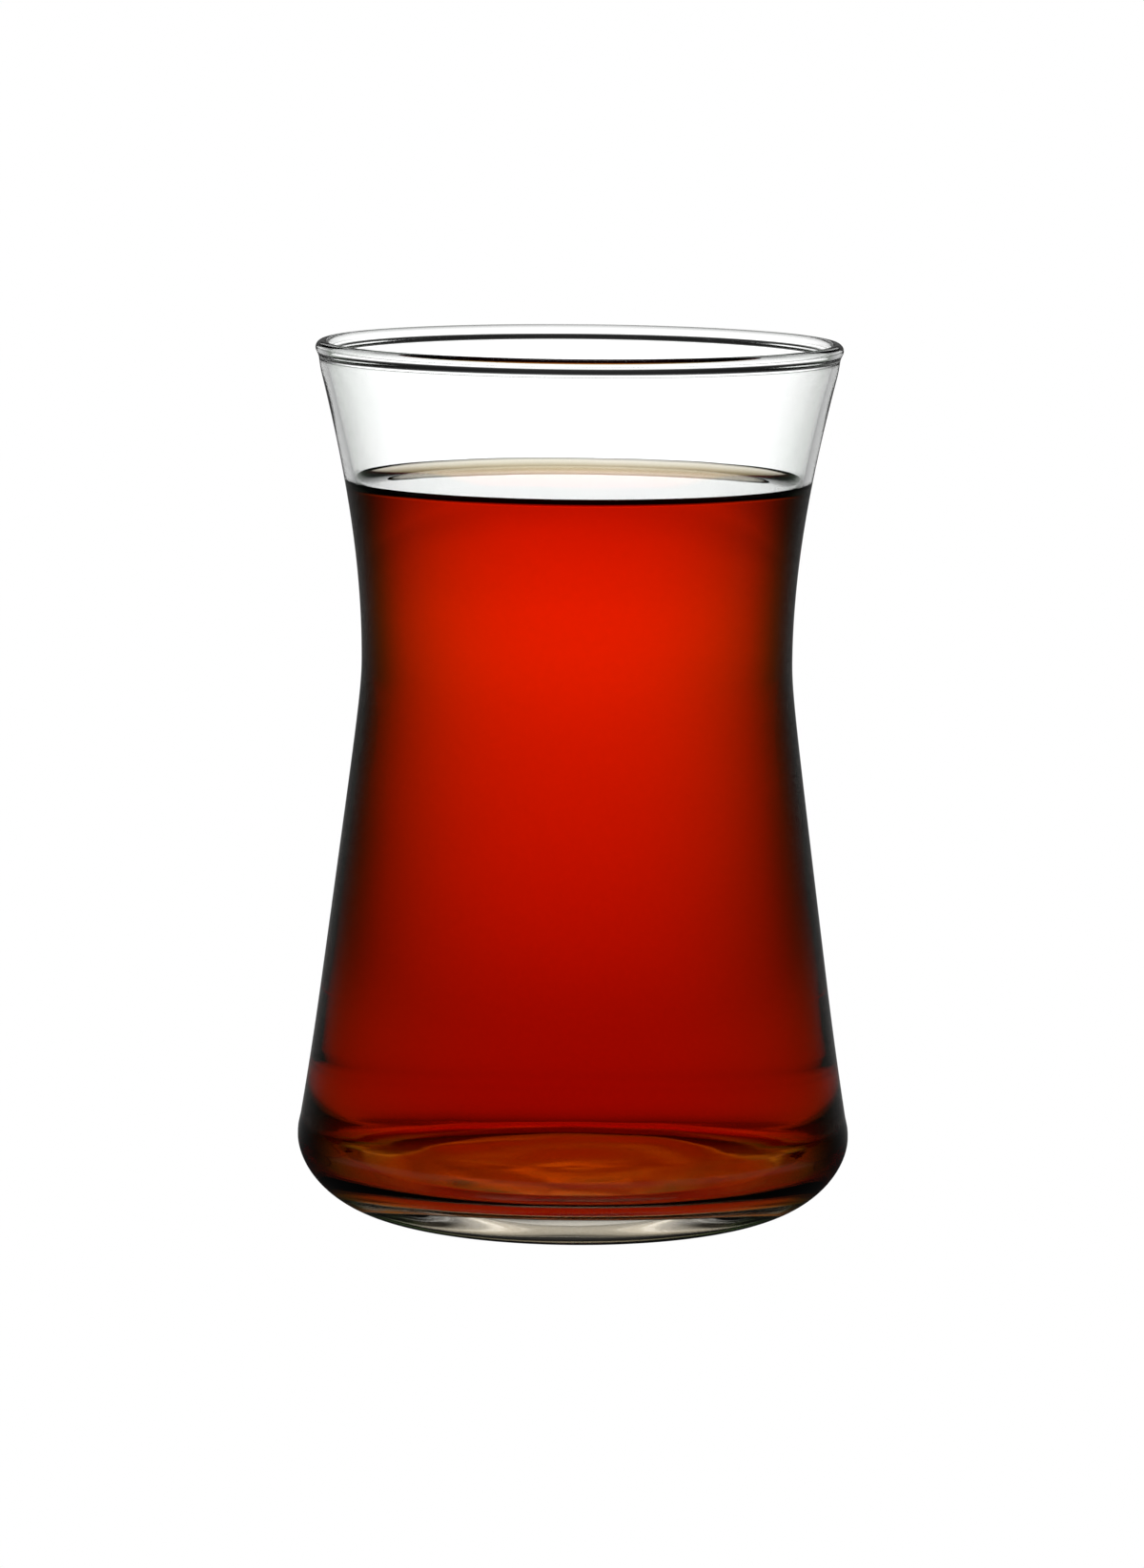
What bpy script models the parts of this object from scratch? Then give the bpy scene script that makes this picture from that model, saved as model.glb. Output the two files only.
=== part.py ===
"""Waisted tea glass, filled with tea to a finger's breadth under the lip.

Units are metres and +Z is up. The origin is on the glass's axis, in the plane that it
stands on. Both pieces are turned: each is half of its section, drawn in the XZ plane
and swept once round Z.
"""
import math

import bpy

HEIGHT = 0.0903             # foot to the top of the lip
LIP_BEAD = 0.00075          # radius of the fire-polished bead that ends the wall
LIP_SOFT = 0.0006           # height over which the bead thins out into the wall
LIP_TURN = 0.0028           # height over which the flared wall turns upright to the bead

WAIST_RADIUS = 0.0222       # narrowest place of the outside
WAIST_HEIGHT = 0.0574
FLARE_SLOPE = 0.367         # slope that the wall nears above the waist
FLARE_BEND = 0.0320         # larger values bend the wall more slowly
SKIRT_SLOPE = 0.133         # the same two below the waist
SKIRT_BEND = 0.0034
KICK = 0.0003               # the skirt's foot flares out by this much more
KICK_HEIGHT = 0.0163        # over this height above the bulge

BULGE_RADIUS = 0.0286       # widest place, where the heel begins to turn in
BULGE_HEIGHT = 0.0077
BULGE_BLEND = 0.0022        # height over which the skirt turns upright into the bulge
HEEL_SQUARENESS = 0.56      # 1 is an ellipse; smaller values fill its lower corner
FOOT_RADIUS = 0.0187        # outer edge of the flat ring that the glass stands on
FOOT_RING = 0.0022          # width of that ring
PUNT_DEPTH = 0.0007         # how far the underside is hollowed inside the ring

WALL_AT_LIP = 0.00085       # wall thickness under the bead
WALL_AT_FLOOR = 0.0021      # and where the wall meets the floor
FLOOR_THICKNESS = 0.0052    # solid glass under the edge of the tea
FLOOR_DOME = 0.0030         # the inner floor rises by this much more towards the axis
FLOOR_RADIUS = 0.0200       # radius of that low dome
CORNER_HEIGHT = 0.0036      # height of the rounded corner between floor and wall
CORNER_REACH = 0.0045       # how far that corner reaches in along the floor

TEA_LEVEL = 0.0753          # the tea's flat surface
MENISCUS = 0.0009           # how far the tea climbs at the wall
MENISCUS_REACH = 0.0009     # distance from the wall over which the climb dies away
TEA_GAP = 0.0003            # the tea keeps this clear of the glass

SIDES = 64                  # flats round each turned piece
WALL_STEPS = 12             # straight runs in each long curve of a section
TURN_STEPS = 8              # and in each short one
FLOOR_STEPS = 6             # and across the floor's dome


def smooth(x):
    """Ease from 0 to 1 as x goes from 0 to 1."""
    x = min(max(x, 0.0), 1.0)
    return x * x * (3 - 2 * x)


def spaced(start, end, steps):
    """Evenly spaced values from start to end, both included."""
    return [start + (end - start) * i / steps for i in range(steps + 1)]


def outer_radius(z):
    """Outside of the wall, from the bulge to the lip: a hyperbola each side of the waist."""
    above = z > WAIST_HEIGHT
    slope, bend = (FLARE_SLOPE, FLARE_BEND) if above else (SKIRT_SLOPE, SKIRT_BEND)
    flare = WAIST_RADIUS + slope * (math.hypot(bend, z - WAIST_HEIGHT) - bend)
    flare += KICK * max(0.0, 1 - (z - BULGE_HEIGHT) / KICK_HEIGHT) ** 2
    return BULGE_RADIUS + (flare - BULGE_RADIUS) * smooth((z - BULGE_HEIGHT) / BULGE_BLEND)


def inner_radius(z):
    """Inside of the wall: the outside less a wall that thickens towards the floor."""
    share = smooth((z - FLOOR_THICKNESS) / (HEIGHT - FLOOR_THICKNESS))
    return outer_radius(z) - (WALL_AT_FLOOR + (WALL_AT_LIP - WALL_AT_FLOOR) * share)


def floor_height(r):
    """Inner floor: a low dome with a flat border."""
    return FLOOR_THICKNESS + FLOOR_DOME * max(0.0, 1 - (r / FLOOR_RADIUS) ** 2)


def lip_radius(z, side):
    """Inside (side -1) or outside (side 1) of the wall as it turns upright to the bead."""
    middle_z = HEIGHT - LIP_BEAD
    start = middle_z - LIP_TURN
    lean = (outer_radius(middle_z) - outer_radius(middle_z - 0.0001)) / 0.0001
    middle = (outer_radius(z) + inner_radius(z)) / 2 - lean * max(0.0, z - start) ** 2 / (2 * LIP_TURN)
    half = (outer_radius(z) - inner_radius(z)) / 2
    return middle + side * (half + (LIP_BEAD - half) * math.exp(-((middle_z - z) / LIP_SOFT) ** 2))


def lip_points():
    """Lip, from its inside over the bead to its outside."""
    middle_z = HEIGHT - LIP_BEAD
    heights = spaced(middle_z - LIP_TURN, middle_z, TURN_STEPS - 2)
    middle = (lip_radius(middle_z, -1) + lip_radius(middle_z, 1)) / 2
    bead = [(middle + LIP_BEAD * math.cos(a), middle_z + LIP_BEAD * math.sin(a))
            for a in spaced(math.pi, 0, TURN_STEPS)]
    return ([(lip_radius(z, -1), z) for z in heights[:-1]] + bead
            + [(lip_radius(z, 1), z) for z in heights[-2::-1]])


def heel_points():
    """Rounded heel from the bulge down to the foot."""
    points = []
    for turn in spaced(math.pi / 2, 0, TURN_STEPS):
        r = FOOT_RADIUS + (BULGE_RADIUS - FOOT_RADIUS) * math.sin(turn)
        z = BULGE_HEIGHT * (1 - math.cos(turn) ** (2 * HEEL_SQUARENESS))
        points.append((r, z))
    return points


def punt_points():
    """Shallow hollow of the underside, from the foot ring in to the axis."""
    edge = FOOT_RADIUS - FOOT_RING
    return [(edge * math.cos(a), PUNT_DEPTH * math.sin(a))
            for a in spaced(0, math.pi / 2, TURN_STEPS // 2)]


def corner_points(gap=0.0):
    """Rounded corner from the inner floor out to the wall, moved inwards by a gap."""
    top = FLOOR_THICKNESS + CORNER_HEIGHT
    wall, floor = inner_radius(top) - gap, FLOOR_THICKNESS + gap
    return [(wall - CORNER_REACH * (1 - math.sin(a)), floor + (top - floor) * (1 - math.cos(a)))
            for a in spaced(0, math.pi / 2, TURN_STEPS - 2)]


def glass_section():
    """Half section of the glass: floor, inside, lip, outside, heel and underside."""
    corner_top = FLOOR_THICKNESS + CORNER_HEIGHT
    neck = HEIGHT - LIP_BEAD - LIP_TURN
    skirt_end = BULGE_HEIGHT + BULGE_BLEND
    inside = [(inner_radius(z), z) for z in spaced(corner_top, neck, WALL_STEPS)]
    outside = [(outer_radius(z), z) for z in spaced(neck, skirt_end, WALL_STEPS)]
    blend_z = BULGE_HEIGHT + BULGE_BLEND / 2
    floor = [(r, floor_height(r)) for r in spaced(0.0, FLOOR_RADIUS, FLOOR_STEPS)]
    return (floor + corner_points() + inside[1:-1] + lip_points()
            + outside[1:] + [(outer_radius(blend_z), blend_z)] + heel_points() + punt_points())


def tea_section():
    """Half section of the tea: flat top, meniscus, side, rounded corner and hollow bottom."""
    corner_top = FLOOR_THICKNESS + CORNER_HEIGHT
    edge = inner_radius(TEA_LEVEL + MENISCUS) - TEA_GAP
    top = []
    for step in spaced(2, 0, 4):
        away = MENISCUS_REACH * step ** 2
        top.append((edge - away, TEA_LEVEL + MENISCUS * math.exp(-away / MENISCUS_REACH)))
    side = [(inner_radius(z) - TEA_GAP, z) for z in spaced(TEA_LEVEL, corner_top, WALL_STEPS)]
    corner = corner_points(TEA_GAP)[::-1]
    floor = [(r, floor_height(r) + TEA_GAP) for r in spaced(FLOOR_RADIUS, 0.0, FLOOR_STEPS)]
    return [(0.0, TEA_LEVEL)] + top + side + corner[1:] + floor


def material(name, colour, roughness, transmission):
    """Principled material with its viewport colour."""
    made = bpy.data.materials.new(name)
    made.use_nodes = True
    shader = made.node_tree.nodes["Principled BSDF"]
    shader.inputs["Base Color"].default_value = (*colour, 1.0)
    shader.inputs["Roughness"].default_value = roughness
    shader.inputs["Metallic"].default_value = 0.0
    shader.inputs["Transmission Weight"].default_value = transmission
    made.diffuse_color = (*colour, 1.0)
    return made


def turned(name, section, finish, collection):
    """Named object whose half section a Screw modifier sweeps once round Z."""
    mesh = bpy.data.meshes.new(name)
    points = [(r, 0.0, z) for r, z in section]
    mesh.from_pydata(points, [(i, i + 1) for i in range(len(points) - 1)], [])
    mesh.materials.append(finish)
    piece = bpy.data.objects.new(name, mesh)
    collection.objects.link(piece)
    screw = piece.modifiers.new("turn", "SCREW")
    screw.axis = "Z"
    screw.steps = SIDES
    screw.render_steps = SIDES
    screw.use_merge_vertices = True
    screw.merge_threshold = 0.00001
    screw.use_smooth_shade = True
    return piece


def build():
    """Clear the scene, then make the glass and its tea."""
    for old in list(bpy.data.objects):
        bpy.data.objects.remove(old, do_unlink=True)
    parts = bpy.data.collections.new("tea_glass")
    bpy.context.scene.collection.children.link(parts)
    clear_glass = material("clear_glass", (0.93, 0.96, 0.94), 0.02, 1.0)
    black_tea = material("black_tea", (0.55, 0.03, 0.008), 0.05, 0.6)
    turned("glass", glass_section(), clear_glass, parts)
    turned("tea", tea_section(), black_tea, parts)


build()
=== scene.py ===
# %% [markdown]
# A waisted tea glass with black tea in it. The frame is the measured model: a `glass`
# solid and a `tea` solid, both turned round Z and both faceted. Flat facets would break
# up what is seen through clear glass, so each solid is replaced here by a fine mesh on
# the same sizes, with the waviness that pressed glass has. What an eye sees in such a
# glass is mostly the light behind it, so the light has its own cells near the end.

# %% Load the frame and keep its box
import math

import bpy
from mathutils import Matrix, Vector, noise


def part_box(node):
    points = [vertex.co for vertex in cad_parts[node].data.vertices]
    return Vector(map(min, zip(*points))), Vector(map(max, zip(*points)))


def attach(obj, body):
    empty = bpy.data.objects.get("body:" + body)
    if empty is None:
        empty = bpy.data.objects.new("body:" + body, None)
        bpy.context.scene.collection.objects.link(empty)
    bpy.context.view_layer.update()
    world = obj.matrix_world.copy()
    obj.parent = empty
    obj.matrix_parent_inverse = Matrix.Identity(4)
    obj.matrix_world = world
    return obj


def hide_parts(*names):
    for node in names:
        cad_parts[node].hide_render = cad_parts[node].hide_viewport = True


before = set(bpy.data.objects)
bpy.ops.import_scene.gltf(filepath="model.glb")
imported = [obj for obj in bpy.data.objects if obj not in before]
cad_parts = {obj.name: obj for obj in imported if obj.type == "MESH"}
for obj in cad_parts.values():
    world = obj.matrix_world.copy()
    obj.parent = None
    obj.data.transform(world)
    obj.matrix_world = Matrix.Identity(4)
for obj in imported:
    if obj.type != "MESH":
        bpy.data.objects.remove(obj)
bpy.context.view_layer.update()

# %% [markdown]
# A turned glass is one outline swept round an axis. Its sizes are real ones, in metres.
# The height and the widest radius are read from the frame, so the fine glass is always
# as large as the solid. The other sizes could be measured on the frame's mesh, but its
# facets would come along, so the outline's own formulas are used again in finer steps.

# %% Sizes of the glass
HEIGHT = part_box("glass")[1][2]
LIP_BEAD = 0.00075           # radius of the fire-polished bead that ends the wall
LIP_SOFT = 0.0006            # height over which the bead thins out into the wall
LIP_TURN = 0.0028            # height over which the flared wall turns upright to the bead

WAIST_RADIUS = 0.0222
WAIST_HEIGHT = 0.0574
FLARE_SLOPE = 0.367          # slope that the wall nears above the waist, and its bend
FLARE_BEND = 0.0320
SKIRT_SLOPE = 0.133          # the same two below the waist
SKIRT_BEND = 0.0034
KICK = 0.0003                # the skirt's foot flares out by this much more
KICK_HEIGHT = 0.0163

BULGE_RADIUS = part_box("glass")[1][0]
BULGE_HEIGHT = 0.0077
BULGE_BLEND = 0.0022         # height over which the skirt turns upright into the bulge
HEEL_SQUARENESS = 0.56       # 1 is an ellipse; smaller values fill its lower corner
FOOT_RADIUS = 0.0187
FOOT_RING = 0.0022           # width of the flat ring that the glass stands on
PUNT_DEPTH = 0.0007          # the underside is hollowed by this much inside the ring

WALL_AT_LIP = 0.00085
WALL_AT_FLOOR = 0.0021
FLOOR_THICKNESS = 0.0052     # glass under the tea at the floor's edge
FLOOR_DOME = 0.0030          # the floor rises by this much towards the axis
FLOOR_RADIUS = 0.0200
CORNER_HEIGHT = 0.0036       # rounded corner between floor and wall
CORNER_REACH = 0.0045
print(f"glass {HEIGHT * 1000:.1f} mm tall and {BULGE_RADIUS * 2000:.1f} mm across")

# %% [markdown]
# Tea wets glass, so its edge climbs the wall by about a millimetre. That small slope
# mirrors the dark table and draws the black line round the tea. The frame's tea keeps
# clear of the wall, but a gap of air would shine like silver here, so this tea reaches a
# little into the wall instead.

# %% Sizes of the tea
TEA_LEVEL = 0.0753
MENISCUS = 0.0009            # how far the tea climbs at the wall
MENISCUS_REACH = 0.0009      # distance from the wall over which the climb dies away
TEA_BITE = 0.0003            # the tea reaches this far into the glass

# %% [markdown]
# An outline is a list of points (radius, height). Curves could be drawn by hand in the
# editor, but formulas stay exact at any fineness. Two helpers are all they need: evenly
# spaced values, and an ease that joins one curve to the next without a corner.


# %% Helpers for outlines
def smooth(x):
    """Ease from 0 to 1 as x goes from 0 to 1."""
    x = min(max(x, 0.0), 1.0)
    return x * x * (3 - 2 * x)


def spaced(start, end, steps):
    """Evenly spaced values from start to end, both included."""
    return [start + (end - start) * i / steps for i in range(steps + 1)]


print("halfway eased", smooth(0.5), "and spaced", spaced(0, 1, 4))

# %% [markdown]
# The wall's outside is a hyperbola each side of the waist: nearly straight far from it
# and bent close to it, as glass blown into a mould is. The skirt kicks out a little at
# its foot and turns upright into the bulge. The inside follows the outside at a
# thickness that grows towards the floor, because hot glass sinks before it sets.


# %% Radii of the wall
def outer_radius(z):
    """Outside of the wall, from the bulge to the lip."""
    above = z > WAIST_HEIGHT
    slope, bend = (FLARE_SLOPE, FLARE_BEND) if above else (SKIRT_SLOPE, SKIRT_BEND)
    flare = WAIST_RADIUS + slope * (math.hypot(bend, z - WAIST_HEIGHT) - bend)
    flare += KICK * max(0.0, 1 - (z - BULGE_HEIGHT) / KICK_HEIGHT) ** 2
    return BULGE_RADIUS + (flare - BULGE_RADIUS) * smooth((z - BULGE_HEIGHT) / BULGE_BLEND)


def inner_radius(z):
    """Inside of the wall."""
    share = smooth((z - FLOOR_THICKNESS) / (HEIGHT - FLOOR_THICKNESS))
    return outer_radius(z) - (WALL_AT_FLOOR + (WALL_AT_LIP - WALL_AT_FLOOR) * share)


def floor_height(r):
    """Inner floor: a low dome."""
    return FLOOR_THICKNESS + FLOOR_DOME * max(0.0, 1 - (r / FLOOR_RADIUS) ** 2)


for place, z in (("waist", WAIST_HEIGHT), ("tea", TEA_LEVEL)):
    print(f"inside at the {place} {inner_radius(z) * 2000:.1f} mm")

# %% [markdown]
# The rest of the outline is short runs between those radii: a round bead at the lip, a
# squarish rounded heel, a shallow hollow under the base, and the rounded corner between
# floor and wall. Each run is a formula with as many steps as its curve needs.

# %% Runs of the outline
WALL_STEPS = 150
TURN_STEPS = 36
FLOOR_STEPS = 90


def lip_radius(z, side):
    """Inside (side -1) or outside (side 1) of the wall as it turns upright to the bead."""
    middle_z = HEIGHT - LIP_BEAD
    start = middle_z - LIP_TURN
    lean = (outer_radius(middle_z) - outer_radius(middle_z - 0.0001)) / 0.0001
    middle = (outer_radius(z) + inner_radius(z)) / 2 - lean * max(0.0, z - start) ** 2 / (2 * LIP_TURN)
    half = (outer_radius(z) - inner_radius(z)) / 2
    return middle + side * (half + (LIP_BEAD - half) * math.exp(-((middle_z - z) / LIP_SOFT) ** 2))


def lip_points():
    """Lip, from its inside over the bead to its outside."""
    middle_z = HEIGHT - LIP_BEAD
    heights = spaced(middle_z - LIP_TURN, middle_z, TURN_STEPS)
    middle = (lip_radius(middle_z, -1) + lip_radius(middle_z, 1)) / 2
    bead = [(middle + LIP_BEAD * math.cos(a), middle_z + LIP_BEAD * math.sin(a))
            for a in spaced(math.pi, 0, TURN_STEPS)]
    return ([(lip_radius(z, -1), z) for z in heights[:-1]] + bead
            + [(lip_radius(z, 1), z) for z in heights[-2::-1]])


def heel_points():
    """Rounded heel, from the bulge down to the foot."""
    points = []
    for turn in spaced(math.pi / 2, 0, TURN_STEPS):
        r = FOOT_RADIUS + (BULGE_RADIUS - FOOT_RADIUS) * math.sin(turn)
        points.append((r, BULGE_HEIGHT * (1 - math.cos(turn) ** (2 * HEEL_SQUARENESS))))
    return points


def punt_points():
    """Shallow hollow of the underside, from the foot ring in to the axis."""
    edge = FOOT_RADIUS - FOOT_RING
    return [(edge * s, PUNT_DEPTH * smooth((1 - s) / 0.25)) for s in spaced(1, 0, FLOOR_STEPS)]


def corner_points(bite=0.0):
    """Rounded corner from the floor out to the wall, moved into the glass by a bite."""
    top = FLOOR_THICKNESS + CORNER_HEIGHT
    wall, floor = inner_radius(top) + bite, FLOOR_THICKNESS - bite
    return [(wall - CORNER_REACH * (1 - math.sin(a)), floor + (top - floor) * (1 - math.cos(a)))
            for a in spaced(0, math.pi / 2, TURN_STEPS)]


print(len(heel_points()), "points down the heel,", len(punt_points()), "under the base")

# %% [markdown]
# Now the runs are joined into half a section for each piece. Both start on the axis with
# an upward face and end on it with a downward one, so a sweep closes them and turns all
# faces outwards. Refraction needs that: it tells glass from air by a face's direction.


# %% Whole outlines
def glass_section():
    """Half section of the glass: floor, inside, lip, outside, heel and underside."""
    neck = HEIGHT - LIP_BEAD - LIP_TURN
    corner = corner_points()
    inside = [(inner_radius(z), z) for z in spaced(corner[-1][1], neck, WALL_STEPS)]
    outside = [(outer_radius(z), z) for z in spaced(neck, BULGE_HEIGHT, WALL_STEPS)]
    floor = [(r, floor_height(r)) for r in spaced(0, corner[0][0], FLOOR_STEPS)]
    return (floor + corner[1:] + inside[1:-1] + lip_points() + outside[1:]
            + heel_points()[1:] + punt_points())


def tea_section():
    """Half section of the tea, which reaches a little into the glass all round."""
    corner = corner_points(TEA_BITE)[::-1]
    edge = inner_radius(TEA_LEVEL + MENISCUS)
    top = []
    for step in spaced(3, 0, 24):
        away = MENISCUS_REACH * step ** 1.5
        top.append((edge - away, TEA_LEVEL + MENISCUS * math.exp(-away / MENISCUS_REACH)))
    middle = [(top[0][0] * s, TEA_LEVEL) for s in spaced(0, 1, 12)]
    side = [(inner_radius(z) + TEA_BITE, z)
            for z in spaced(TEA_LEVEL + MENISCUS, FLOOR_THICKNESS + CORNER_HEIGHT, WALL_STEPS)]
    floor = [(r, floor_height(r) - TEA_BITE) for r in spaced(corner[-1][0], 0, FLOOR_STEPS)]
    return middle[:-1] + top + side + corner[1:] + floor[1:]


print(len(glass_section()), "points round the glass,", len(tea_section()), "round the tea")

# %% [markdown]
# The base of a pressed glass is never flat: the plunger and the mould leave slow waves
# and a few faint rings. They are what makes the amber swirls, because light that bounces
# under the base is turned twice by each wave. A bump map only tilts light and the exported
# mesh would lose it, so the waves are real relief, a seventh of a millimetre at most.

# %% Waves in the base
WAVE_HEIGHT = 0.000045
RING_HEIGHT = 0.00004
RING_WIDTH = 0.0026
RING_WANDER = 2.2            # how far the waves push the rings about
BOSS_HEIGHT = 0.00008        # a faint flat boss in the middle
BOSS_RADIUS = 0.0045


def cloud(x, y, size, layer):
    """Soft noise of about -1 to 1 in clouds of a size; each layer is another pattern."""
    return noise.noise(Vector((x / size, y / size, layer)))


def base_wave(x, y, r):
    """Height of the underside's waves, fading out before the foot ring."""
    waves = 2 * cloud(x, y, 0.0055, 1.7) + cloud(x, y, 0.0024, 5.2)
    rings = math.sin(math.pi * r / RING_WIDTH + RING_WANDER * cloud(x, y, 0.009, 9.1))
    boss = math.exp(-(r / BOSS_RADIUS) ** 4)
    height = WAVE_HEIGHT * waves + RING_HEIGHT * rings - BOSS_HEIGHT * boss
    return height * smooth((FOOT_RADIUS - FOOT_RING - r) / 0.003)


def floor_wave(x, y, r):
    """Gentler waves of the inner floor."""
    return WAVE_HEIGHT * cloud(x, y, 0.008, 12.3) * smooth((FLOOR_RADIUS - r) / 0.004)


print(f"wave under the middle {base_wave(0.002, 0.001, 0.0022) * 1e6:.0f} micrometres")

# %% [markdown]
# A Screw modifier would sweep each outline in one go. The waves need every point's own
# place, though, so the mesh is made point by point: one ring for each point of the
# outline, and a single point where the outline meets the axis. 256 points to a ring are
# so many that no facet shows, even at the outline.

# %% Sweep an outline round Z
SEGMENTS = 256


def turned(section):
    """Closed mesh from an outline that starts and ends on the axis."""
    ring = [(math.cos(a), math.sin(a)) for a in spaced(0, 2 * math.pi, SEGMENTS)[:-1]]
    points = [(0.0, 0.0, section[0][1])]
    for r, z in section[1:-1]:
        points += [(r * c, r * s, z) for c, s in ring]
    points.append((0.0, 0.0, section[-1][1]))
    faces = []
    last_ring = 1 + (len(section) - 3) * SEGMENTS
    for k in range(SEGMENTS):
        n = (k + 1) % SEGMENTS
        faces.append((0, 1 + k, 1 + n))
        for start in range(1, last_ring, SEGMENTS):
            faces.append((start + k, start + SEGMENTS + k, start + SEGMENTS + n, start + n))
        faces.append((len(points) - 1, last_ring + n, last_ring + k))
    return points, faces


def waved(points, bite=0.0):
    """Points with the waves added to the underside and the inner floor."""
    moved = []
    for x, y, z in points:
        r = math.hypot(x, y)
        if z < PUNT_DEPTH + 0.0002 and r < FOOT_RADIUS:
            z += base_wave(x, y, r)
        elif abs(z + bite - floor_height(r)) < 0.0001 and r < FLOOR_RADIUS:
            z += floor_wave(x, y, r)
        moved.append((x, y, z))
    return moved


print("a disc of two rings has", len(turned([(0, 0), (1, 0), (1, 1), (0, 1)])[1]), "faces")

# %% [markdown]
# Each fine piece stands in for its solid: it rides on the frame's one body.


# %% Place the fine glass and tea
def placed(name, points, faces):
    """Smooth object from points and faces, riding on the glass's body."""
    mesh = bpy.data.meshes.new(name)
    mesh.from_pydata(points, [], faces)
    mesh.shade_smooth()
    piece = bpy.data.objects.new(name, mesh)
    bpy.context.scene.collection.objects.link(piece)
    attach(piece, "root")
    return piece


points, faces = turned(glass_section())
fine_glass = placed("turned_glass", waved(points), faces)
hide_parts("glass")
points, faces = turned(tea_section())
fine_tea = placed("poured_tea", waved(points, TEA_BITE), faces)
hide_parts("tea")
print(len(fine_glass.data.polygons), "faces in the glass,", len(fine_tea.data.polygons), "in the tea")

# %% [markdown]
# Finishes and light are patterns: formulas of place or direction. A small class lets a
# node's output be used in ordinary Python sums, so a pattern reads as maths and not as
# wiring. Any other node is made by one method, from its settings and socket values.


# %% Shader maths as Python expressions
class Field:
    """A socket that Python's arithmetic works on."""

    def __init__(self, socket):
        self.socket = socket
        self.tree = socket.id_data

    @staticmethod
    def node(tree, kind, settings=None, sockets=None, out=0):
        """Add any node: its settings first, then values or links for its sockets."""
        made = tree.nodes.new(kind)
        for key, value in (settings or {}).items():
            setattr(made, key, value)
        for key, value in (sockets or {}).items():
            if isinstance(value, Field):
                tree.links.new(value.socket, made.inputs[key])
            else:
                made.inputs[key].default_value = value
        return Field(made.outputs[out])

    def math(self, operation, *others):
        """Math node with this value first."""
        return Field.node(self.tree, "ShaderNodeMath", {"operation": operation},
                          dict(enumerate((self, *others))))

    def __add__(self, other):
        return self.math("ADD", other)

    def __sub__(self, other):
        return self.math("SUBTRACT", other)

    def __mul__(self, other):
        return self.math("MULTIPLY", other)

    def __truediv__(self, other):
        return self.math("DIVIDE", other)

    def __rsub__(self, other):
        return self * -1 + other

    __radd__ = __add__
    __rmul__ = __mul__

    def bell(self, width):
        """1 at zero, falling off on both sides like a bell."""
        share = self / width
        return (share * share * -0.5).math("EXPONENT")

    def ease(self, low, high):
        """Ease from 0 to 1 as the value goes from low to high."""
        return Field.node(self.tree, "ShaderNodeMapRange", {"interpolation_type": "SMOOTHSTEP"},
                          {"Value": self, "From Min": low, "From Max": high})

    def blend(self, low, high):
        """Colour between low and high, with this value as the share of high."""
        return Field.node(self.tree, "ShaderNodeMix", {"data_type": "RGBA"},
                          {"Factor": self, "A": low, "B": high}, out=2)


def axes(tree, output):
    """The three numbers of a texture coordinate."""
    split = tree.nodes.new("ShaderNodeSeparateXYZ")
    tree.links.new(Field.node(tree, "ShaderNodeTexCoord", out=output).socket, split.inputs[0])
    return [Field(socket) for socket in split.outputs]


def ray(tree, question):
    """What the Light Path node says of the ray that arrives here."""
    return Field.node(tree, "ShaderNodeLightPath", out=question)


print("Field works with", ", ".join(name for name in vars(Field) if not name.startswith("_")))

# %% [markdown]
# Clear glass takes its look from its index of refraction, 1.5 for soda-lime glass. Real
# glass is never quite even: its iron gives a faint green in drifts, and the melt leaves
# very slow waves. Noise that sticks to the piece does both, so weakly that they are felt
# more than seen.

# %% Glass finish
GLASS_IOR = 1.5
CLEAREST = (1.0, 1.0, 1.0, 1.0)
GREENEST = (0.985, 1.0, 0.992, 1.0)
TINT_CLOUDS = 70.0           # clouds per metre
MELT_CLOUDS = 90.0
MELT_WAVES = 0.00002         # height of the slow waves in the wall


def drift(tree, scale):
    """Soft clouds from 0 to 1, in the piece's own space; scale is clouds per metre."""
    place = Field.node(tree, "ShaderNodeTexCoord", out="Object")
    clouds = {"Vector": place, "Scale": scale, "Detail": 1.0}
    return Field.node(tree, "ShaderNodeTexNoise", {}, clouds).ease(0.3, 0.7)


def clear(name, ior, low, high, scale):
    """Fully clear finish whose tint drifts between two colours."""
    made = bpy.data.materials.new(name)
    made.use_nodes = True
    tree = made.node_tree
    shader = tree.nodes["Principled BSDF"]
    shader.inputs["Roughness"].default_value = 0.0
    shader.inputs["IOR"].default_value = ior
    shader.inputs["Transmission Weight"].default_value = 1.0
    tree.links.new(drift(tree, scale).blend(low, high).socket, shader.inputs["Base Color"])
    return made, tree, shader


clear_glass, tree, shader = clear("clear_glass", GLASS_IOR, CLEAREST, GREENEST, TINT_CLOUDS)
waves = Field.node(tree, "ShaderNodeBump", {},
                   {"Strength": 1.0, "Distance": MELT_WAVES, "Height": drift(tree, MELT_CLOUDS)})
tree.links.new(waves.socket, shader.inputs["Normal"])
print("clear glass bends light by", GLASS_IOR)

# %% [markdown]
# Where the tea wets the glass, light meets glass and tea with no air between. The tea
# reaches a little into the wall here, so a ray enters the tea before it leaves the glass.
# That bends it rightly, but each of the two faces would also mirror like one in air. A
# black specular tint takes that mirror away and leaves the mirroring at flat angles. The
# underside has a third finish: the press leaves it a little dull, which softens what it
# mirrors.

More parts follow.
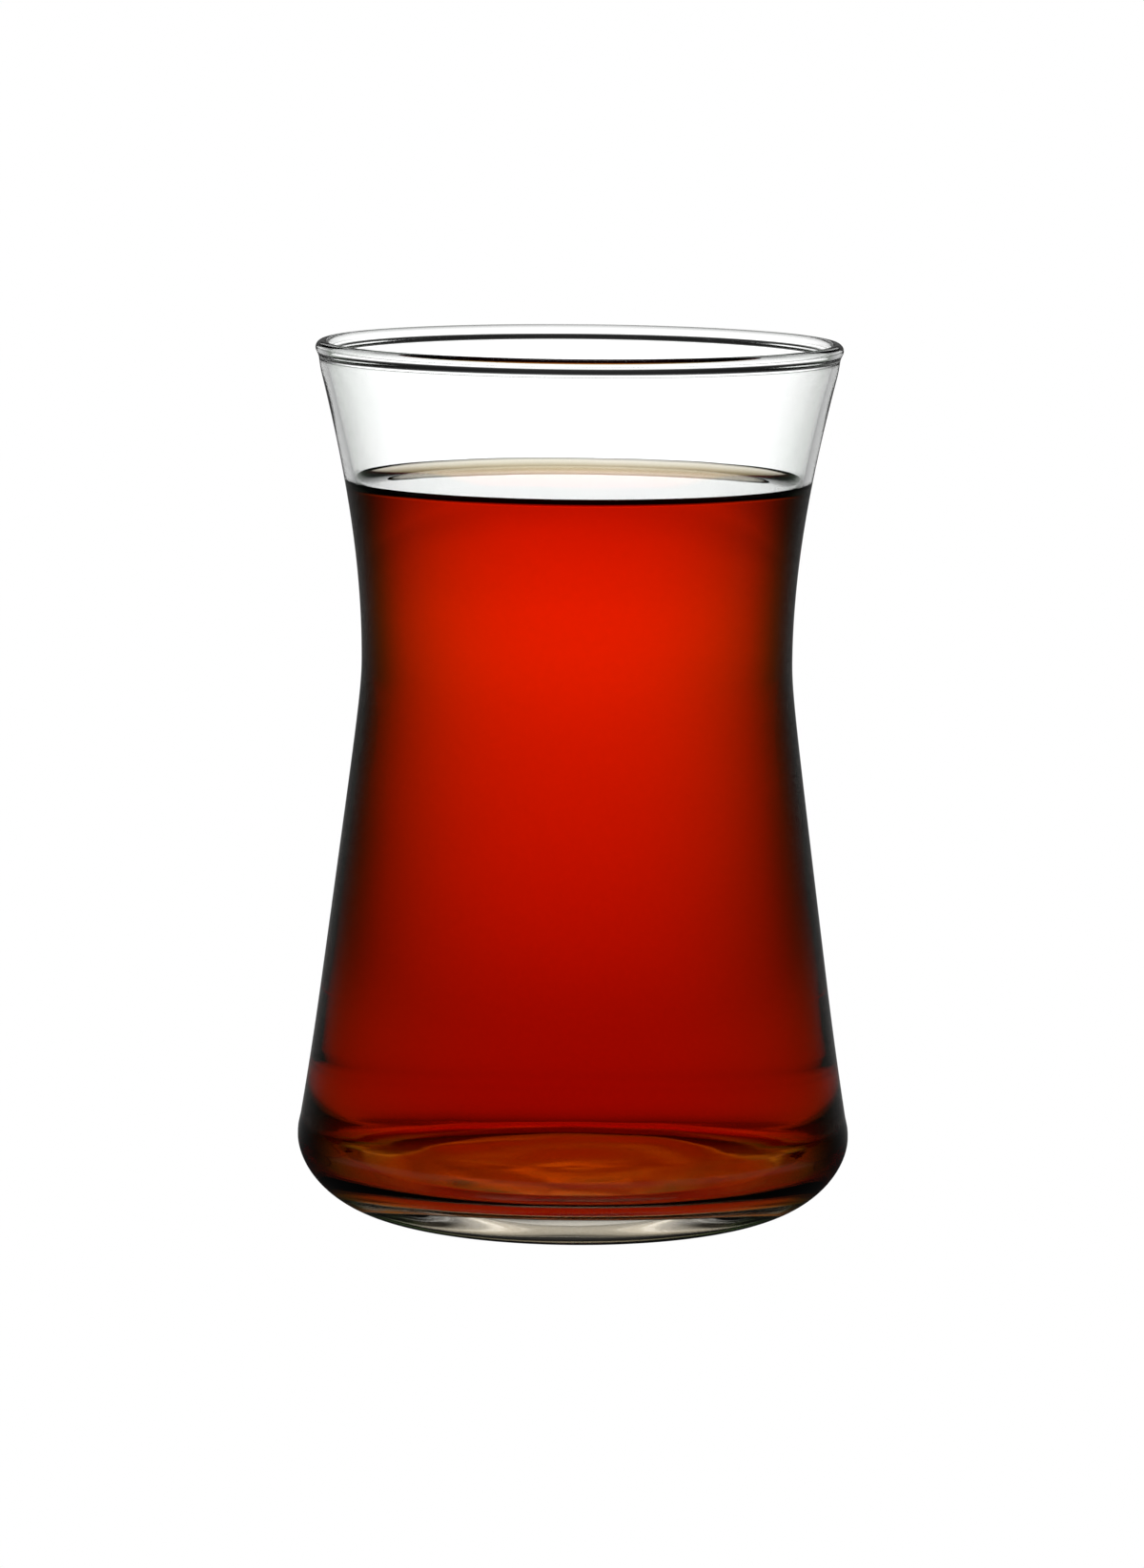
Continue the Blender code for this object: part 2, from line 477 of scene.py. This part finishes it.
# %% Wetted glass and pressed underside
DULL, DULLER = 0.14, 0.26    # roughness of the underside, in drifts
DULL_CLOUDS = 160.0
NO_MIRROR = (0.0, 0.0, 0.0, 1.0)
wetted_glass, tree, shader = clear("wetted_glass", GLASS_IOR, CLEAREST, GREENEST, TINT_CLOUDS)
shader.inputs["Specular Tint"].default_value = NO_MIRROR

pressed_glass, tree, shader = clear("pressed_glass", GLASS_IOR, CLEAREST, GREENEST, TINT_CLOUDS)
roughness = drift(tree, DULL_CLOUDS) * (DULLER - DULL) + DULL
tree.links.new(roughness.socket, shader.inputs["Roughness"])

for finish in (clear_glass, wetted_glass, pressed_glass):
    fine_glass.data.materials.append(finish)
for face in fine_glass.data.polygons:
    x, y, z = face.center
    r = math.hypot(x, y)
    if FLOOR_THICKNESS - 0.0002 < z < TEA_LEVEL + MENISCUS and r < inner_radius(z) + 0.0002:
        face.material_index = 1
    elif z < PUNT_DEPTH + 0.0004 and r < FOOT_RADIUS - FOOT_RING:
        face.material_index = 2
print("wetted faces", sum(face.material_index == 1 for face in fine_glass.data.polygons))

# %% [markdown]
# Tea has no colour on its surface: the colour grows with the length of tea that light
# crosses. Black tea stops blue within millimetres and green within centimetres, but lets
# red pass. So a short way is amber, and the full width of the glass is deep red. Volume
# absorption does just that. The three losses were found from colours along the glass.

# %% Tea finish
TEA_IOR = 1.33
PALEST = (1.0, 1.0, 1.0, 1.0)
WARMEST = (1.0, 0.985, 0.96, 1.0)
TEA_CLOUDS = 45.0
LOSSES = (12.0, 110.0, 330.0)    # red, green and blue, per metre
DENSITY = 340.0                  # the node wants one density and the shares that it keeps
black_tea, tree, shader = clear("black_tea", TEA_IOR, PALEST, WARMEST, TEA_CLOUDS)
shader.inputs["Specular Tint"].default_value = NO_MIRROR
kept = [1 - loss / DENSITY for loss in LOSSES]
absorb = Field.node(tree, "ShaderNodeVolumeAbsorption", {}, {"Color": (*kept, 1.0), "Density": DENSITY})
tree.links.new(absorb.socket, tree.nodes["Material Output"].inputs["Volume"])
fine_tea.data.materials.append(black_tea)
shares = ", ".join(f"{math.exp(-loss * 2 * WAIST_RADIUS):.3f}" for loss in LOSSES)
print("of red, green and blue,", shares, "pass through the waist")

# %% [markdown]
# Clear glass shows the light behind it, bent to all sides. Glassware is photographed
# against one bright panel, with everything else dark: the panel fills the middle, and the
# dark sides draw the edges and the two black lines of the lip. All light here is a
# formula of direction. It also asks whether a ray was steeped in tea: one that misses the
# tea mostly passes four faces of glass, so one that passed more has been through the tea.

# %% Directions for the light
DEGREE = math.pi / 180
world = bpy.data.worlds.new("studio")
bpy.context.scene.world = world
world.use_nodes = True
sky = world.node_tree
sky.nodes.clear()
x, y, z = axes(sky, "Generated")
azimuth = x.math("ARCTAN2", y) / DEGREE
elevation = z.math("ARCSINE") / DEGREE
off_axis = azimuth.math("ABSOLUTE")
steeped = ray(sky, "Transmission Depth").ease(4.5, 5.5)
print("light is laid out by azimuth and elevation, in degrees")

# %% [markdown]
# The panel is brightest a little above the horizon, where the tea's flat surface mirrors
# it, and ends some 12 degrees up. A colour ramp holds its brightness by height, divided
# by its top value because a ramp stores no more than 1. Sideways it fades as a bell. The
# heights were worked out backwards, from the tea's colours and where those rays leave.
# For steeped light the panel fades sooner and evenly, or its bright stripe would show
# again as a red band over the base.

# %% The bright panel
PANEL_WIDTH = 20.5           # degrees to either side
PANEL_TOP = 2.0
PANEL = [(-45, 1.3), (-8, 1.38), (-4, 1.4), (-1.7, 1.29), (-0.2, 1.2), (0.6, 1.06), (1.3, 0.95),
         (3, 1.2), (4.3, 2.0), (5.7, 2.0), (7, 1.2), (10, 0.9), (12, 0.4), (14, 0.04), (25, 0.01),
         (45, 0.01)]         # (elevation, brightness)
LOWEST, HIGHEST = PANEL[0][0], PANEL[-1][0]
STEEPED_BOTTOM, STEEPED_TOP = 1.42, 0.5


def ramp(tree, share, stops):
    """Colour ramp in grey, from places and values between 0 and 1."""
    made = tree.nodes.new("ShaderNodeValToRGB")
    elements = made.color_ramp.elements
    elements.remove(elements[-1])
    for i, (place, value) in enumerate(stops):
        stop = elements[0] if i == 0 else elements.new(place)
        stop.position, stop.color = place, (value, value, value, 1.0)
    tree.links.new(share.socket, made.inputs["Fac"])
    return Field(made.outputs["Color"])


reach = HIGHEST - LOWEST
stops = [((height - LOWEST) / reach, value / PANEL_TOP) for height, value in PANEL]
panel = ramp(sky, (elevation - LOWEST) / reach, stops) * PANEL_TOP * azimuth.bell(PANEL_WIDTH) + 0.005
fading = STEEPED_BOTTOM - elevation.ease(-1, 6) * (STEEPED_BOTTOM - STEEPED_TOP)
fading = fading * azimuth.bell(PANEL_WIDTH)
panel = panel.math("MINIMUM", fading + (1 - steeped) * PANEL_TOP)
print(len(stops), "steps of brightness over", reach, "degrees")

# %% [markdown]
# Three softer lights fill in the rest. One stands at the sides and behind the camera, so
# the glass isn't black from other sides, but only for light that hasn't been mirrored on
# its way: otherwise it would lie as a veil over the tea. One is the pale room low down,
# seen under the panel. The last is the room over the panel, for steeped light alone: it
# comes down through the tea and lights the amber base.

# %% Lights at the sides, below and above
SIDE_LIGHT = 0.9
LOW_LIGHT = 0.9
HIGH_LIGHT = 0.42
HIGH_WIDTH = 30              # degrees to either side
MIRROR_LOSS = 0.93           # what the panel loses in mirrors on the outside
mirrored = ray(sky, "Is Reflection Ray")
bounced = ray(sky, "Glossy Depth").math("MINIMUM", 1.0)
level = 1 - elevation.math("ABSOLUTE").ease(32, 45)
sides = off_axis.ease(66, 84) * level * SIDE_LIGHT
low = (elevation * -1).ease(24, 36) * (1 - off_axis.ease(100, 120)) * LOW_LIGHT
high = elevation.ease(10, 22) * azimuth.bell(HIGH_WIDTH) * steeped * HIGH_LIGHT
seen = (panel * (1 - mirrored * MIRROR_LOSS)).math("MAXIMUM", sides * (1 - bounced))
seen = seen.math("MAXIMUM", low * (1 - mirrored)).math("MAXIMUM", high)
print("side light", SIDE_LIGHT, "low light", LOW_LIGHT, "high light", HIGH_LIGHT)

# %% [markdown]
# Straight from the camera the ground is plain white. At the panel's edge its light turns
# olive, as the rim of the tea shows in the photo: there the light grazes the wall and
# crosses its greenish glass for a long way. The clear wall over the tea is thinner and
# gets less of that tint.

# %% Background
OLIVE = (0.65, 1.5, 0.5, 1.0)
WHITE = (1.0, 1.0, 1.0, 1.0)
CLEAR_TINT = 0.3             # share of the olive in light that missed the tea
direct = ray(sky, "Is Camera Ray")
edge = off_axis.ease(28, 45) * (1 - off_axis.ease(60, 70))
tint = edge * (steeped * (1 - CLEAR_TINT) + CLEAR_TINT) * (1 - direct)
lit = Field.node(sky, "ShaderNodeBackground", {},
                 {"Color": tint.blend(WHITE, OLIVE), "Strength": seen + direct * (1 - seen)})
output = sky.nodes.new("ShaderNodeOutputWorld")
sky.links.new(lit.socket, output.inputs["Surface"])
print("background nodes", len(sky.nodes))

# %% [markdown]
# The glass stands on a plain white table. Only what is seen through the glass shows that the table is
# darker close to it, where the glass takes the panel's light away. That darkening is painted shade: the
# table is white for the camera, and for bent light a glow that fades in with distance over the panel's own
# light.

# %% Table
TABLE_DROP = 0.0002          # just under the foot, so that the two never share a plane
mesh = bpy.data.meshes.new("table")
mesh.from_pydata([(-3, -3, 0), (3, -3, 0), (3, 3, 0), (-3, 3, 0)], [], [(0, 1, 2, 3)])
table = bpy.data.objects.new("table", mesh)
bpy.context.scene.collection.objects.link(table)
table.location.z = -TABLE_DROP
table.visible_diffuse = False
table.visible_shadow = False
print("table", table.dimensions.x, "m wide")

# %% [markdown]
# The table's finish mixes a painted glow with full clearness, through which the panel shows. The painted
# shade decides between them: behind the glass it dies away slowly, and in front of it the table is plain
# glow up to a hand's breadth. Under the glass there is nearly no glow, a painted shadow of the glass, and
# that dark is what the edge of the tea mirrors. Behind, the glow has a soft peak some six centimetres off,
# a painted pool of light which lights the lower part of the tea. In front, it is weak in the glass's outer
# mirror, where it would lay a grey arc over the base.

# %% Table finish, with painted shade and painted light
# Sizes of the painted shade round the glass and of the painted pool of light behind it.
SHADE_REACH = 0.135          # metres over which the shade behind the glass dies away
BEHIND_WIDTH = 22.0          # degrees to either side
BEHIND_GLOW = 0.25
PEAK_GLOW = 0.14             # what the peak adds
PEAK_PLACE = 0.062           # and where it is, in metres from the axis
PEAK_WIDTH = 0.014
FRONT_GLOW = 0.6
FRONT_MIRROR_LOSS = 0.5
LEAST_GLOW = 0.01

white = bpy.data.materials.new("white_table_painted_shade")
white.use_nodes = True
tree = white.node_tree
tree.nodes.clear()
x, y, _ = axes(tree, "Object")
distance = (x * x + y * y).math("SQRT")
bearing = x.math("ARCTAN2", y) / DEGREE
front = bearing.math("ABSOLUTE").ease(80, 100)
# Painted shade: near the glass the table keeps only a faint glow, standing in for the glass's shadow, and
# behind the glass this shade dies away slowly.
shade = ((distance - 0.030) / -SHADE_REACH).math("EXPONENT").math("MINIMUM", 1.0)
shade = shade * (1 - front) + (1 - distance.ease(0.080, 0.110)) * front

direct = ray(tree, "Is Camera Ray")
mirrored = ray(tree, "Is Reflection Ray")
# Painted light: a soft peak of glow some six centimetres behind the glass, standing in for light that the
# glass gathers there.
painted_light_peak = (distance - PEAK_PLACE).bell(PEAK_WIDTH) * PEAK_GLOW
behind = bearing.bell(BEHIND_WIDTH) * distance.ease(0.030, 0.050) * (painted_light_peak + BEHIND_GLOW)
before = front * distance.ease(0.045, 0.060) * (FRONT_GLOW - mirrored * FRONT_MIRROR_LOSS)
painted_glow = Field.node(tree, "ShaderNodeEmission", {},
                  {"Color": WHITE, "Strength": direct + (1 - direct) * (behind + before + LEAST_GLOW)})
through = Field.node(tree, "ShaderNodeBsdfTransparent")
mixed = Field.node(tree, "ShaderNodeMixShader", {}, {0: direct.math("MAXIMUM", shade), 1: through, 2: painted_glow})
output = tree.nodes.new("ShaderNodeOutputMaterial")
tree.links.new(mixed.socket, output.inputs["Surface"])
mesh.materials.append(white)
print("shade reaches", SHADE_REACH, "m behind the glass")

# %% [markdown]
# The camera looks down at the glass by about eight degrees from 0.7 m away. Its height,
# distance and lens were fitted to the outline in the photo, so the glass stands in the
# same place and at the same angle. Depth of field stays off: all of the glass is sharp.

# %% Camera
CAMERA = Vector((-0.0004, -0.700, 0.13787))
AIM = Vector((-0.0004, 0.0, 0.0445))
FOCAL_PIXELS = 7167          # the lens, as its focal length in the picture's own pixels
IMAGE_HEIGHT = 1645
ROLL = 0.5                   # degrees; the glass leans a hair in the photo
data = bpy.data.cameras.new("camera")
data.sensor_width = 36.0
data.lens = FOCAL_PIXELS * data.sensor_width / IMAGE_HEIGHT
camera = bpy.data.objects.new("camera", data)
bpy.context.scene.collection.objects.link(camera)
camera.location = CAMERA
look = (AIM - CAMERA).to_track_quat("-Z", "Y").to_matrix()
camera.rotation_euler = (look @ Matrix.Rotation(math.radians(ROLL), 3, "Z")).to_euler()
bpy.context.scene.camera = camera
bpy.context.scene.view_settings.view_transform = "Standard"
bpy.context.scene.view_settings.look = "None"
print(f"lens {data.lens:.0f} mm")
